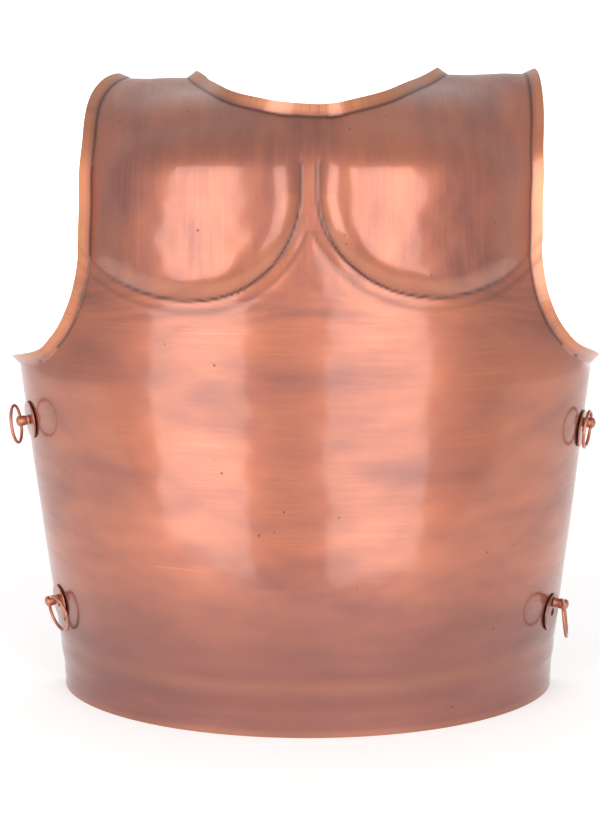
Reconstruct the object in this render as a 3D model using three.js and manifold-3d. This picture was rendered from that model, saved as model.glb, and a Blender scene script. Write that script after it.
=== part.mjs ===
// Bronze muscle cuirass: a hammered breastplate with turned-out lips round the neck and arms, four ring
// studs on its sides and a plain stud behind each shoulder. Millimetres, +Z up, the front facing -Y.
// A place on the plate is given by its 'run' (height up to the chest line, then distance over the
// shoulder) and by its 'turn' (angle round the torso from the front) or its 'across' (sideways place).
import * as THREE from "three";
import { mergeVertices } from "three/addons/utils/BufferGeometryUtils.js";
import Module from "manifold-3d";

const { clamp, degToRad, lerp, smoothstep } = THREE.MathUtils;
const wasm = await Module();
wasm.setup();

// ---- Driving dimensions ----
const WALL = 1.6;
const GAP = 0.4; // between pieces that touch on the real thing
const FRAME_ORIGIN = new THREE.Vector3(-1.5, -60.5, 0); // middle of the footprint, on the hem

// Torso section: half an ellipse, drawn in a little near the side edges.
const HEM_HALF_WIDTH = 187.5;
const HEM_DEPTH = 143;
const HEM_FLARE = 1.5;
const HEM_FLARE_HEIGHT = 20;
const SIDE_TAPER = 0.118; // half width gained for each mm of height, up to the armpit
const SIDE_LEAN = -0.008; // the torso leans this much to the left for each mm of height
const SIDE_PINCH = 1.09;
const ARMPIT_HEIGHT = 248;
const CHEST_HEIGHT = 386; // the most forward level, where the roll over the shoulder begins
const CHEST_HALF_WIDTH = 196;
const CHEST_DEPTH = 155;
const BELLY_BULGE = 4;
const BELLY_TOP = 260;
const SHOULDER_RADIUS = 78.5;
const SHOULDER_TILT = 0.012; // the right shoulder rides higher
const SHOULDER_END = 551; // run at the rear end of the shoulder tabs
const MEAN_RADIUS = 150; // turns an angle round the torso into a rough distance

// Pectorals: each outline is a half ellipse under the chest line and goes straight up above it.
const PEC_STEP = 9;
const PEC_SLOPE = 14; // width of the step
const PEC_DOME = 3;
const PEC_DOME_REACH = 40;
const PEC_ROUNDING = 2.2; // how early the step rises within its width
// Where the relief dies away: by run towards the neck and over the shoulder, by across near the arm.
const PEC_FADES = {
  neck: { from: 390, to: 418 },
  over: { from: 426, to: 496 },
  arm: { from: 115, to: 155 },
};
const PECS = {
  left: { middle: -82, inner: 77, outer: 96, drop: 74, atNeck: 0, atArm: 0.2 },
  right: { middle: 92, inner: 85, outer: 84, drop: 72, atNeck: 0.1, atArm: 0.2 },
};

// Feet of the lips: round each arm from the armpit to the rear end of the tab, and round the neck.
const ARM_EDGES = {
  left: [
    { across: -196, run: 259 },
    { across: -178, run: 274 },
    { across: -165, run: 295 },
    { across: -156, run: 322 },
    { across: -151, run: 364 },
    { across: -150, run: 404 },
    { across: -149, run: 444 },
    { across: -143, run: 475 },
    { across: -132, run: 510 },
    { across: -124, run: SHOULDER_END },
  ],
  right: [
    { across: 197, run: 262 },
    { across: 180, run: 277 },
    { across: 167, run: 298 },
    { across: 159, run: 325 },
    { across: 156, run: 364 },
    { across: 157, run: 404 },
    { across: 160, run: 450 },
    { across: 160, run: 500 },
    { across: 155, run: SHOULDER_END },
  ],
};
const NECK_EDGE = [
  { across: -80, run: SHOULDER_END },
  { across: -90, run: 509 },
  { across: -79, run: 466 },
  { across: -62, run: 433 },
  { across: -32, run: 420 },
  { across: 3, run: 416 },
  { across: 29, run: 418 },
  { across: 64, run: 432 },
  { across: 88, run: 466 },
  { across: 104, run: 509 },
  { across: 98, run: SHOULDER_END },
];
const LIPS = {
  arm: { width: 9, angle: 46, topAngle: 24, corner: 16 }, // angles out of the plate in front and on top
  neck: { width: 9, angle: 50, topAngle: 36, corner: 9 },
};
const LIP_TURNS_TOP = { from: 406, to: 496 }; // runs over which 'angle' gives way to 'topAngle'

// Ring studs. 'droop' tips the ring's middle below level, 'swing' turns it away from the plate,
// 'reach' is the post's length and 'hang' how far the washer's middle lies under the post.
const RING_STUDS = {
  upper_left: { side: -1, turn: -75, run: 211.5, reach: 9.6, hang: 0, droop: -4, swing: 27 },
  upper_right: { side: 1, turn: 78, run: 208.5, reach: 8.4, hang: 5, droop: 11, swing: 0 },
  lower_left: { side: -1, turn: -72, run: 75, reach: 10, hang: 3, droop: 36, swing: -12 },
  lower_right: { side: 1, turn: 70, run: 74, reach: 11.2, hang: 8, droop: 36, swing: 22 },
};
const SHOULDER_STUDS = {
  left: { across: -92, run: 540 },
  right: { across: 110, run: 540 },
};
const WASHER = { radius: 14.25, thickness: 1.2, sides: 24 };
const SHANK_RADIUS = 2.5;
const POST = { radius: 4, waist: 3.3, inside: 1.5, sides: 12 };
const CROSS_HOLE = { radius: 1.8, fromTip: 3.6 };
const RING = { radius: 13.75, wire: 1.2, slack: 0.22, sides: 8, segments: 26 };
const SHOULDER_STUD = { radius: 4.5, height: 3 };

// Mesh of the plate: the torso block reaches the arms at UNDERARM_RUN, and the chest block above it
// ends at the neck and at the shoulder tabs, which leave it at TAB_RUN.
const UNDERARM_RUN = 296;
const TAB_RUN = 440;
const SPANS = { underarm: 8, tab: 8, neck: 16, lip: 2 };
const ROWS = { torso: 21, chest: 13, tab: 9 };

const MATERIALS = {
  copper: new THREE.MeshStandardMaterial({ color: 0x9a5340, roughness: 0.34, metalness: 0.9 }),
  fitting: new THREE.MeshStandardMaterial({ color: 0x8a4a30, roughness: 0.3, metalness: 0.95 }),
};

// ---- Plate surface ----
function halfWidth(height) {
  const flare = HEM_FLARE * Math.max(0, 1 - height / HEM_FLARE_HEIGHT) ** 2;
  const side = HEM_HALF_WIDTH + SIDE_TAPER * Math.min(height, ARMPIT_HEIGHT);
  return lerp(side, CHEST_HALF_WIDTH, smoothstep(height, ARMPIT_HEIGHT, CHEST_HEIGHT)) + flare;
}

function depth(height) {
  const flare = HEM_FLARE * Math.max(0, 1 - height / HEM_FLARE_HEIGHT) ** 2;
  const belly = BELLY_BULGE * Math.sin(Math.PI * clamp(height / BELLY_TOP, 0, 1)) ** 2;
  return lerp(HEM_DEPTH, CHEST_DEPTH, smoothstep(height, 0, CHEST_HEIGHT)) + belly + flare;
}

const lean = (height) => SIDE_LEAN * Math.min(height, ARMPIT_HEIGHT);

// The bare torso and shoulders, without the pectorals.
function torsoPoint(turn, run) {
  const height = Math.min(run, CHEST_HEIGHT);
  const across = halfWidth(height) * Math.sin(turn) + lean(height);
  const forward = depth(height) * Math.sign(Math.cos(turn)) * Math.abs(Math.cos(turn)) ** SIDE_PINCH;
  const roll = (run - height) / SHOULDER_RADIUS;
  const top = SHOULDER_RADIUS + SHOULDER_TILT * across;
  const reach = lerp(forward, top, 1 - Math.max(Math.cos(roll), 0) ** 4);
  return new THREE.Vector3(across, -reach * Math.cos(roll), height + reach * Math.sin(roll));
}

function torsoNormal(turn, run) {
  const [dTurn, dRun] = [0.002, 0.2];
  const along = torsoPoint(turn + dTurn, run).sub(torsoPoint(turn - dTurn, run));
  const up = torsoPoint(turn, run + dRun).sub(torsoPoint(turn, run - dRun));
  return along.cross(up).normalize();
}

function turnAt(across, run) {
  const height = Math.min(run, CHEST_HEIGHT);
  return Math.asin(clamp((across - lean(height)) / halfWidth(height), -1, 1));
}

const fade = (value, { from, to }) => smoothstep(value, from, to);

// How far a pectoral stands out of the torso.
function pecRelief(across, run) {
  const pec = across < 1 ? PECS.left : PECS.right;
  const sideways = across - pec.middle;
  const inward = sideways * Math.sign(pec.middle) < 0;
  const below = Math.min(0, run - CHEST_HEIGHT);
  const share = Math.hypot(sideways / (inward ? pec.inner : pec.outer), below / pec.drop);
  if (share >= 1) return 0;
  const fromMiddle = Math.hypot(sideways, below);
  const inside = fromMiddle > 1 ? fromMiddle / share - fromMiddle : pec.drop;
  const step = 1 - (1 - Math.min(inside / PEC_SLOPE, 1)) ** PEC_ROUNDING;
  const dome = 1 - Math.exp(-inside / PEC_DOME_REACH);
  const neck = lerp(1, pec.atNeck, fade(run, PEC_FADES.neck));
  const over = 1 - fade(run, PEC_FADES.over);
  const arm = lerp(1, pec.atArm, fade(Math.abs(across), PEC_FADES.arm));
  return (PEC_STEP * step + PEC_DOME * dome) * neck * over * arm;
}

function platePoint(turn, run) {
  const point = torsoPoint(turn, run);
  return point.addScaledVector(torsoNormal(turn, run), pecRelief(point.x, run));
}

// ---- Edges of the plate, as lists of places { turn, run } ----
const edgeCurve = (table) =>
  new THREE.SplineCurve(
    table.map(({ across, run }) => new THREE.Vector2(turnAt(across, run) * MEAN_RADIUS, run)),
  );

// Where between two shares of its length a curve reaches a run.
function shareAtRun(curve, run, low, high) {
  const rising = curve.getPointAt(high).y > curve.getPointAt(low).y;
  for (let k = 0; k < 40; k++) {
    const middle = (low + high) / 2;
    if (curve.getPointAt(middle).y < run === rising) low = middle;
    else high = middle;
  }
  return low;
}

const stretch = (curve, from, to, spans) =>
  Array.from({ length: spans + 1 }, (_, k) => {
    const { x, y } = curve.getPointAt(lerp(from, to, k / spans));
    return { turn: x / MEAN_RADIUS, run: y };
  });

const straight = (a, b, spans) =>
  Array.from({ length: spans + 1 }, (_, k) => ({
    turn: lerp(a.turn, b.turn, k / spans),
    run: lerp(a.run, b.run, k / spans),
  }));

const chain = (first, ...rest) => [...first, ...rest.flatMap((path) => path.slice(1))];

function armEdge(side, table) {
  const armpit = { across: side * halfWidth(ARMPIT_HEIGHT) + lean(ARMPIT_HEIGHT), run: ARMPIT_HEIGHT };
  const curve = edgeCurve([armpit, ...table]);
  const [low, high] = [UNDERARM_RUN, TAB_RUN].map((run) => shareAtRun(curve, run, 0, 1));
  return {
    under: stretch(curve, 0, low, SPANS.underarm),
    front: stretch(curve, low, high, ROWS.chest),
    over: stretch(curve, high, 1, ROWS.tab),
  };
}

function neckEdge() {
  const curve = edgeCurve(NECK_EDGE);
  const [low, high] = [shareAtRun(curve, TAB_RUN, 0, 0.5), shareAtRun(curve, TAB_RUN, 0.5, 1)];
  return {
    left: stretch(curve, 0, low, ROWS.tab),
    front: stretch(curve, low, high, SPANS.neck),
    right: stretch(curve, high, 1, ROWS.tab),
  };
}

// ---- Patches: rows of cells { point, normal }, with columns to the right as seen from outside ----
function cellAt({ turn, run }) {
  const normal = torsoNormal(turn, run);
  if (run === 0) normal.setZ(0).normalize(); // keeps the hem's rim flat
  return { point: platePoint(turn, run), normal };
}

// Cells between four edges, blended from all of them.
function blendedPatch(bottom, top, left, right) {
  const [columns, rows] = [bottom.length - 1, left.length - 1];
  const blend = (key, i, j) => {
    const [u, v] = [i / columns, j / rows];
    const corners = lerp(lerp(left[0][key], right[0][key], u), lerp(left[rows][key], right[rows][key], u), v);
    return lerp(bottom[i][key], top[i][key], v) + lerp(left[j][key], right[j][key], u) - corners;
  };
  return left.map((_, j) =>
    bottom.map((__, i) => cellAt({ turn: blend("turn", i, j), run: blend("run", i, j) })),
  );
}

// A lip along an edge: it stands out of the plate and is rounded off where it begins or ends.
function lipPatch(path, { width, angle, topAngle, corner }, plateOnRight, roundEnd) {
  const feet = path.map((place) => platePoint(place.turn, place.run));
  const lengths = feet.map((foot, k) => (k ? foot.distanceTo(feet[k - 1]) : 0));
  const along = lengths.map((_, k) => lengths.slice(0, k + 1).reduce((sum, step) => sum + step));
  return path.map(({ turn, run }, j) => {
    const normal = torsoNormal(turn, run);
    const tangent = feet[Math.min(j + 1, feet.length - 1)].clone().sub(feet[Math.max(j - 1, 0)]);
    const out = tangent.cross(normal).multiplyScalar(plateOnRight ? -1 : 1).normalize();
    const slope = degToRad(lerp(angle, topAngle, fade(run, LIP_TURNS_TOP)));
    const fromEnd = roundEnd ? Math.min(along[j], along.at(-1) - along[j]) : along[j];
    const share = Math.sqrt(1 - (1 - Math.min(fromEnd / corner, 1)) ** 2);
    const way = out.clone().multiplyScalar(Math.cos(slope)).addScaledVector(normal, Math.sin(slope));
    const wall = normal.clone().multiplyScalar(Math.cos(slope)).addScaledVector(out, -Math.sin(slope));
    const cells = Array.from({ length: SPANS.lip + 1 }, (_, k) => ({
      point: feet[j].clone().addScaledVector(way, (width * share * k) / SPANS.lip),
      normal: normal.clone().lerp(wall, share).normalize(),
    }));
    return plateOnRight ? cells.reverse() : cells;
  });
}

function platePatches() {
  const left = armEdge(-1, ARM_EDGES.left);
  const right = armEdge(1, ARM_EDGES.right);
  const neck = neckEdge();
  const rightward = (path) => path.toReversed();
  const sideEdge = (turn) => straight({ turn, run: 0 }, { turn, run: ARMPIT_HEIGHT }, ROWS.torso);
  const across = 2 * SPANS.tab + SPANS.neck;
  const hem = straight(
    { turn: -Math.PI / 2, run: 0 },
    { turn: Math.PI / 2, run: 0 },
    across + 2 * SPANS.underarm,
  );
  const chestFoot = straight(left.front[0], right.front[0], across);
  const leftTabFoot = straight(left.over[0], neck.front[0], SPANS.tab);
  const rightTabFoot = straight(neck.front.at(-1), right.over[0], SPANS.tab);
  const leftTabEnd = straight(left.over.at(-1), neck.left[0], SPANS.tab);
  const rightTabEnd = straight(neck.right.at(-1), right.over.at(-1), SPANS.tab);
  return [
    blendedPatch(
      hem,
      chain(left.under, chestFoot, rightward(right.under)),
      sideEdge(-Math.PI / 2),
      sideEdge(Math.PI / 2),
    ),
    blendedPatch(chestFoot, chain(leftTabFoot, neck.front, rightTabFoot), left.front, right.front),
    blendedPatch(leftTabFoot, leftTabEnd, left.over, rightward(neck.left)),
    blendedPatch(rightTabFoot, rightTabEnd, neck.right, right.over),
    lipPatch(chain(left.under, left.front, left.over), LIPS.arm, true, false),
    lipPatch(chain(right.under, right.front, right.over), LIPS.arm, false, false),
    lipPatch(chain(neck.left, neck.front, neck.right), LIPS.neck, true, true),
  ];
}

// ---- Solids ----
// Patches joined where they meet, with a second skin inside them and a rim along every open edge.
function wallGeometry(patches, wall) {
  const vertices = [];
  const known = new Map();
  const indexOf = ({ point, normal }) => {
    const key = point.toArray().map((v) => Math.round(v * 1000)).join();
    if (!known.has(key)) known.set(key, vertices.push({ point, normal: new THREE.Vector3() }) - 1);
    vertices[known.get(key)].normal.add(normal);
    return known.get(key);
  };
  const triangles = [];
  const distance = (a, b) => vertices[a].point.distanceTo(vertices[b].point);
  for (const cells of patches) {
    const rows = cells.map((row) => row.map(indexOf));
    for (let j = 1; j < rows.length; j++)
      for (let i = 1; i < rows[j].length; i++) {
        const [a, b, c, d] = [rows[j - 1][i - 1], rows[j - 1][i], rows[j][i], rows[j][i - 1]];
        if (distance(a, c) < distance(b, d)) triangles.push([a, b, c], [a, c, d]);
        else triangles.push([a, b, d], [b, c, d]);
      }
  }
  const outer = triangles.filter(([a, b, c]) => a !== b && b !== c && c !== a);
  const edges = outer.flatMap(([a, b, c]) => [[a, b], [b, c], [c, a]]);
  const directed = new Set(edges.map(String));
  const open = edges.filter(([a, b]) => !directed.has(String([b, a])));
  const inside = (k) => k + vertices.length;
  const index = [
    ...outer,
    ...outer.map(([a, b, c]) => [inside(a), inside(c), inside(b)]),
    ...open.flatMap(([a, b]) => [[b, a, inside(a)], [b, inside(a), inside(b)]]),
  ];
  const skin = vertices.map(({ point }) => point);
  const lining = vertices.map(({ point, normal }) =>
    point.clone().addScaledVector(normal.clone().normalize(), -wall),
  );
  return new THREE.BufferGeometry().setFromPoints([...skin, ...lining]).setIndex(index.flat());
}

function toSolid(geometry) {
  const bare = geometry.clone();
  bare.deleteAttribute("normal");
  bare.deleteAttribute("uv");
  const merged = mergeVertices(bare, 1e-4);
  const mesh = new wasm.Mesh({
    numProp: 3,
    vertProperties: merged.attributes.position.array,
    triVerts: new Uint32Array(merged.index.array),
  });
  return new wasm.Manifold(mesh);
}

function toGeometry(solid) {
  const { vertProperties, triVerts } = solid.getMesh();
  const geometry = new THREE.BufferGeometry();
  geometry.setAttribute("position", new THREE.BufferAttribute(vertProperties, 3));
  geometry.setIndex(new THREE.BufferAttribute(triVerts, 1));
  return geometry;
}

const cut = (geometry, ...tools) =>
  toGeometry(tools.reduce((solid, tool) => solid.subtract(toSolid(tool)), toSolid(geometry)));

function latheAlongZ(profile, sides) {
  const points = profile.map(([radius, z]) => new THREE.Vector2(radius, z));
  return new THREE.LatheGeometry(points, sides).rotateX(Math.PI / 2);
}

const cylinderAlongZ = (radius, height, sides) =>
  new THREE.CylinderGeometry(radius, radius, height, sides).rotateX(Math.PI / 2);

// ---- Studs: each is built with the plate's surface at z = 0 and +Z pointing out of the plate ----
const HEAD_GAP = 0.7; // between the plate's curve and the peened head inside it
const HEAD_UNDERSIDE = -WALL - HEAD_GAP;
const WASHER_TOP = GAP + WASHER.thickness;

function washerGeometry(hang) {
  const disc = cylinderAlongZ(WASHER.radius, WASHER.thickness, WASHER.sides);
  const hole = cylinderAlongZ(SHANK_RADIUS + GAP, 2 * WASHER.thickness, POST.sides);
  return cut(disc.translate(0, -hang, 0), hole).translate(0, 0, GAP + WASHER.thickness / 2);
}

function postGeometry(reach, hingeAngle) {
  const foot = WASHER_TOP + GAP;
  const tip = foot + reach;
  const dome = POST.radius * 0.6;
  const profile = [
    [0, HEAD_UNDERSIDE - POST.inside],
    [POST.radius * 0.7, HEAD_UNDERSIDE - POST.inside],
    [POST.radius, HEAD_UNDERSIDE - POST.inside / 2],
    [POST.radius, HEAD_UNDERSIDE],
    [SHANK_RADIUS, HEAD_UNDERSIDE],
    [SHANK_RADIUS, foot],
    [POST.radius, foot],
    [POST.waist, lerp(foot, tip - 2 * CROSS_HOLE.fromTip, 0.7)],
    [POST.radius, tip - 1.6 * CROSS_HOLE.fromTip],
    [POST.radius, tip - dome],
    [POST.radius * 0.75, tip - dome * 0.3],
    [0, tip],
  ];
  const hole = new THREE.CylinderGeometry(CROSS_HOLE.radius, CROSS_HOLE.radius, 4 * POST.radius, 12);
  hole.rotateZ(hingeAngle).translate(0, 0, tip - CROSS_HOLE.fromTip);
  return cut(latheAlongZ(profile, POST.sides), hole);
}

function shoulderStudGeometry() {
  const { radius, height } = SHOULDER_STUD;
  const profile = [
    [0, HEAD_UNDERSIDE - POST.inside],
    [POST.radius * 0.8, HEAD_UNDERSIDE - POST.inside],
    [POST.radius, HEAD_UNDERSIDE],
    [SHANK_RADIUS, HEAD_UNDERSIDE],
    [SHANK_RADIUS, GAP],
    [radius, GAP],
    [radius, GAP + height * 0.4],
    [radius * 0.7, GAP + height * 0.85],
    [0, GAP + height],
  ];
  return latheAlongZ(profile, POST.sides);
}

function named(name, geometry, material) {
  const mesh = new THREE.Mesh(geometry, material);
  mesh.name = name;
  return mesh;
}

// An empty group on the plate with +Z along the plate's normal and +Y as near up as that allows.
function plateMount(turn, run) {
  const normal = torsoNormal(turn, run);
  const sideways = new THREE.Vector3(0, 0, 1).cross(normal).normalize();
  const mount = new THREE.Group();
  const axes = new THREE.Matrix4().makeBasis(sideways, normal.clone().cross(sideways), normal);
  mount.quaternion.setFromRotationMatrix(axes);
  mount.position.copy(platePoint(turn, run));
  return mount;
}

function ringStud(place, { side, turn, run, reach, hang, droop, swing }) {
  const mount = plateMount(degToRad(turn), run);
  const hinge = new THREE.Group(); // +X towards the ring's middle, +Y along the cross hole
  hinge.position.z = WASHER_TOP + GAP + reach - CROSS_HOLE.fromTip;
  hinge.rotation.z = side < 0 ? -degToRad(droop) : Math.PI + degToRad(droop);
  const torus = new THREE.TorusGeometry(RING.radius, RING.wire, RING.sides, RING.segments);
  const ring = named(`ring_${place}`, torus.translate(RING.radius - RING.slack, 0, 0), MATERIALS.fitting);
  ring.rotation.y = -degToRad(swing);
  hinge.add(ring);
  mount.add(named(`washer_${place}`, washerGeometry(hang), MATERIALS.copper));
  mount.add(named(`post_${place}`, postGeometry(reach, hinge.rotation.z), MATERIALS.fitting), hinge);
  return mount;
}

function shoulderStud(side, { across, run }) {
  const mount = plateMount(turnAt(across, run), run);
  mount.add(named(`shoulder_stud_${side}`, shoulderStudGeometry(), MATERIALS.fitting));
  return mount;
}

// ---- Assembly ----
const cuirass = new THREE.Group();
const mounts = [
  ...Object.entries(RING_STUDS).map(([place, stud]) => ringStud(place, stud)),
  ...Object.entries(SHOULDER_STUDS).map(([side, stud]) => shoulderStud(side, stud)),
];
const shankHoles = mounts.map((mount) => {
  mount.updateMatrix();
  return cylinderAlongZ(SHANK_RADIUS + GAP, 8 * WALL, POST.sides).applyMatrix4(mount.matrix);
});
const plate = cut(wallGeometry(platePatches(), WALL), ...shankHoles);
cuirass.add(named("breast_plate", plate, MATERIALS.copper), ...mounts);
cuirass.position.copy(FRAME_ORIGIN).negate();

export default cuirass;
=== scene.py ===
"""Bronze muscle cuirass: the fine breastplate, its ring studs and shoulder studs, their antique
copper finish, and a plain studio. Sizes are in millimetres in the plate's own frame, and go to
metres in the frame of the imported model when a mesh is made."""

from math import cos, pi, radians, sin

import bmesh
import bpy
import numpy as np
from bpy.props import FloatProperty, FloatVectorProperty, IntProperty, PointerProperty
from mathutils import Matrix, Vector
from mathutils.kdtree import KDTree


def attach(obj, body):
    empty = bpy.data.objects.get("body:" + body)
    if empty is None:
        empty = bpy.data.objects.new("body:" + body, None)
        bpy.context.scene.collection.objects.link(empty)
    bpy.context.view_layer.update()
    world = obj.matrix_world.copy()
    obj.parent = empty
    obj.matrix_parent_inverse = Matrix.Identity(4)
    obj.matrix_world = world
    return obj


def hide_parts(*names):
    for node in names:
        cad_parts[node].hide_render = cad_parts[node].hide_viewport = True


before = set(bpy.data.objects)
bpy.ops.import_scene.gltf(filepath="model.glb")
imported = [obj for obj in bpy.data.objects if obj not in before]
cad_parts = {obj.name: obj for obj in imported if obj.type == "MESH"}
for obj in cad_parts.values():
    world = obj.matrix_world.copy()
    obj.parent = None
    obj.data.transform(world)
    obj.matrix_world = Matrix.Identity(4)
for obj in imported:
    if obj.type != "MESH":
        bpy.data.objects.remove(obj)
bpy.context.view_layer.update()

bl_info = {
    "name": "Bronze muscle cuirass",
    "version": (1, 0, 0),
    "blender": (4, 5, 0),
    "location": "View3D > Sidebar > Cuirass",
    "description": "Builds the breastplate of a muscle cuirass with its studs, rings and studio",
    "category": "Object",
}

MM = 0.001
FRAME_ORIGIN = np.array([-1.5, -60.5, 0.0])
WALL = 1.6
GAP = 0.4  # between fitted parts

# Torso section: half an ellipse at each height, rolled back over the shoulders above CHEST_HEIGHT.
HEM_HALF_WIDTH, HEM_DEPTH = 187.5, 143
HEM_FLARE, HEM_FLARE_HEIGHT = 1.5, 20
SIDE_TAPER, SIDE_LEAN, SIDE_PINCH = 0.118, -0.008, 1.09
ARMPIT_HEIGHT, CHEST_HEIGHT = 248, 386
CHEST_HALF_WIDTH, CHEST_DEPTH = 196, 155
BELLY_BULGE, BELLY_TOP = 4, 260
SHOULDER_RADIUS, SHOULDER_TILT, SHOULDER_END = 78.5, 0.012, 551
MEAN_RADIUS = 150

# Pectorals
PEC_STEP, PEC_SLOPE, PEC_ROUNDING = 8, 24, 2.8
PEC_DOME, PEC_DOME_REACH = 4, 40
PECS = {
    "left": {"middle": -82, "inner": 77, "outer": 96, "drop": 74, "at_neck": 0, "at_arm": 0.2},
    "right": {"middle": 92, "inner": 85, "outer": 84, "drop": 72, "at_neck": 0.1, "at_arm": 0.2},
}
PEC_FADES = {"neck": (390, 418), "over": (426, 496), "arm": (115, 155)}

# Edges of the plate, as (across, run)
ARM_EDGES = {
    "left": [(-196, 259), (-178, 274), (-165, 295), (-156, 322), (-151, 364), (-150, 404),
             (-149, 444), (-143, 475), (-132, 510), (-124, SHOULDER_END)],
    "right": [(197, 262), (180, 277), (167, 298), (159, 325), (156, 364), (157, 404),
              (160, 450), (160, 500), (155, SHOULDER_END)],
}
NECK_EDGE = [(-80, SHOULDER_END), (-90, 509), (-79, 466), (-62, 433), (-32, 420), (3, 416),
             (29, 418), (64, 432), (88, 466), (104, 509), (98, SHOULDER_END)]
LIPS = {
    "arm": {"width": 9, "angle": 46, "top_angle": 24, "corner": 16},
    "neck": {"width": 9, "angle": 50, "top_angle": 36, "corner": 9},
}
LIP_TURNS_TOP = (406, 496)
UNDERARM_RUN, TAB_RUN = 296, 440
SPANS = {"underarm": 8, "tab": 8, "neck": 16, "lip": 2}
ROWS = {"torso": 21, "chest": 13, "tab": 9}

# Hammering left in the sheet: (height in mm, wavelength across, wavelength along the run, phase)
RIPPLES = [(0.16, 190, 118, 0.6), (0.10, 82, 143, 2.1), (0.05, 47, 61, 4.4), (0.03, 24, 29, 1.7)]
RIPPLES_START = (0, 12)
CHEST_RIPPLES = {"gain": 1.5, "run": (290, 330)}
HEM_ROLL = {"height": 0.24, "wavelength": 19.5, "bottom": 10, "top": 66, "rise": 8, "fall": 24}
UNDER_PEC_GROOVE = {"depth": 0.5, "below": 8.5, "width": 3, "ends": (CHEST_HEIGHT - 40, CHEST_HEIGHT - 10)}
QUIET_EDGE = (1, 14)

# Where the colour darkens or brightens, in mm from each line or along the run: painted shade in the creases,
# grooves and lips' folds, a painted reflection under the pecs, brushing, and darker towards the bottom
# Painted shade along the foot of the pecs
PEC_CREASE = {"outside": 1.4, "inside": 1.0, "over_middle": 10}
# Painted shade in the groove under the pecs
GROOVE_SHADE = {"strength": 0.35, "width": 1.8, "under_middle": 25}
# Painted shade in the fold at each lip's foot
LIP_FOOT_SHADE = {"strength": 0.95, "width": 1.3, "lip_share": 0.2}
# Painted reflection of the floor on the pecs' undersides
PEC_BAND = {"start": (1, 4), "end": (8, 15)}
HEM_EDGE = (1.5, 5)
HEM_LINE = {"strength": 0.45, "run": 38, "width": 6}
UPRIGHT_BRUSH_RUN = (285, 330)
# Darker towards the bottom
LOW_DARKENING_RUN = (40, 150)

RING_STUDS = {
    "upper_left": {"side": -1, "turn": -75, "run": 211.5, "reach": 9.6,
                    "hang": 0, "droop": -4, "swing": 27},
    "upper_right": {"side": 1, "turn": 78, "run": 208.5, "reach": 8.4,
                    "hang": 5, "droop": 11, "swing": 0},
    "lower_left": {"side": -1, "turn": -72, "run": 75, "reach": 10,
                    "hang": 3, "droop": 36, "swing": -12},
    "lower_right": {"side": 1, "turn": 70, "run": 74, "reach": 11.2,
                    "hang": 8, "droop": 36, "swing": 22},
}
SHOULDER_STUDS = {"left": (-92, 540), "right": (110, 540)}
WASHER_THICKNESS = 1.2
WASHER_TOP = GAP + WASHER_THICKNESS
WASHER_HOLE, WASHER_EDGE = 2.9, 0.25
CROSS_HOLE = {"radius": 1.8, "from_tip": 3.6}
RING_SLACK = 0.22
SHANK_RADIUS = 2.5
HEAD_TOP = -WALL - 0.7  # of the peened heads, inside the plate
HEAD_THICKNESS, HEAD_EDGE = 1.5, 0.4
DRILL_REACH = 9
SIDES = {"washer": 72, "post": 40, "drill": 24, "shoulder_stud": 40, "ring": 96, "wire": 20}

# Finish. Noise is (scale, detail, roughness); strokes are scales across, along and through the sheet.
LACQUER = {"Metallic": 0.85, "Coat Weight": 0.8, "Coat Roughness": 0.12, "Coat IOR": 1.6}
BUMP = {"Strength": 0.55, "Distance": 0.0003}
CLOUDS, MOTTLE, FINE_GRAIN = (11, 5, 0.55), (45, 4, 0.55), (900, 2, 0.5)
BRUSH_NOISE, SCRATCH_NOISE = (1.0, 3, 0.5), (1.0, 1, 0.3)
STROKES = {"level": (14, 700, 1), "upright": (600, 16, 1), "scratch": (9, 260, 1)}
PATINA_STRETCH = {"level": (0.55, 1.35, 1), "upright": (1.5, 0.85, 1)}
PIT_SCALE, PIT_AREA_SCALE = 75.0, 26
# Shares of rubbed copper: brushing and scratches are wear, the band under the pecs is a painted reflection,
# and the lips take wear and a painted highlight
RUBBED_AND_SHEEN = {"brush": 0.15, "scratch": 0.3, "pec_reflection_and_hem_band": 0.18, "lip_low": 0.2, "lip_high": 0.45}
# How far each mark darkens: towards the bottom, by the painted shade in the creases, and over the plate's
# inside
DARKENED = {"low": 0.7, "painted_crease_shade": 0.92, "lining": 0.6}
ROUGHENED = {"painted_crease_shade": 0.25, "lining": 0.18}
FITTING_FINISHES = {
    "Washer copper": {"age": 0.06, "shine": 0.25},
    "Post copper": {"age": -0.02, "shine": 0.5},
    "Ring copper": {"age": -0.05, "shine": 0.6},
    "Shoulder stud copper": {"age": 0.14, "shine": 0.15},
}

# Studio, in metres
FLOOR = {"half_width": 1.8, "front": -0.37, "back": 1.7, "shade": 0.88, "glow": 0.34}
BACKDROP = {"height": 0.75, "shade": 0.8, "glow": 1.0}
SOFTBOXES = {
    "left softbox": {"azimuth": -36, "width": 0.95},
    "right softbox": {"azimuth": 24, "width": 1.0},
}
SOFTBOX = {"distance": 1.6, "low": -0.5, "high": 1.75, "power": 16}
WORLD_COLOUR = (0.60, 0.59, 0.585, 1)
CAMERA = {"place": (0.0015, -1.4395, 0.46), "pitch": 9.65, "focal_length": 85.2, "sensor_height": 36,
          "shift": -8 / 840}


# ---- Settings that a user would change ----
def length(name, description, default):
    return FloatProperty(name=name, description=description, default=default * MM,
                         min=0, subtype="DISTANCE", unit="LENGTH")


def colour(name, description, default):
    return FloatVectorProperty(name=name, description=description, default=default,
                               size=3, min=0, max=1, subtype="COLOR")


class CuirassPlateSettings(bpy.types.PropertyGroup):
    wall: length("Wall", "Thickness of the sheet", WALL)
    fineness: IntProperty(name="Fineness", description="Mesh cells for each cell of the plain model",
                          default=5, min=1, max=5)


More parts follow.
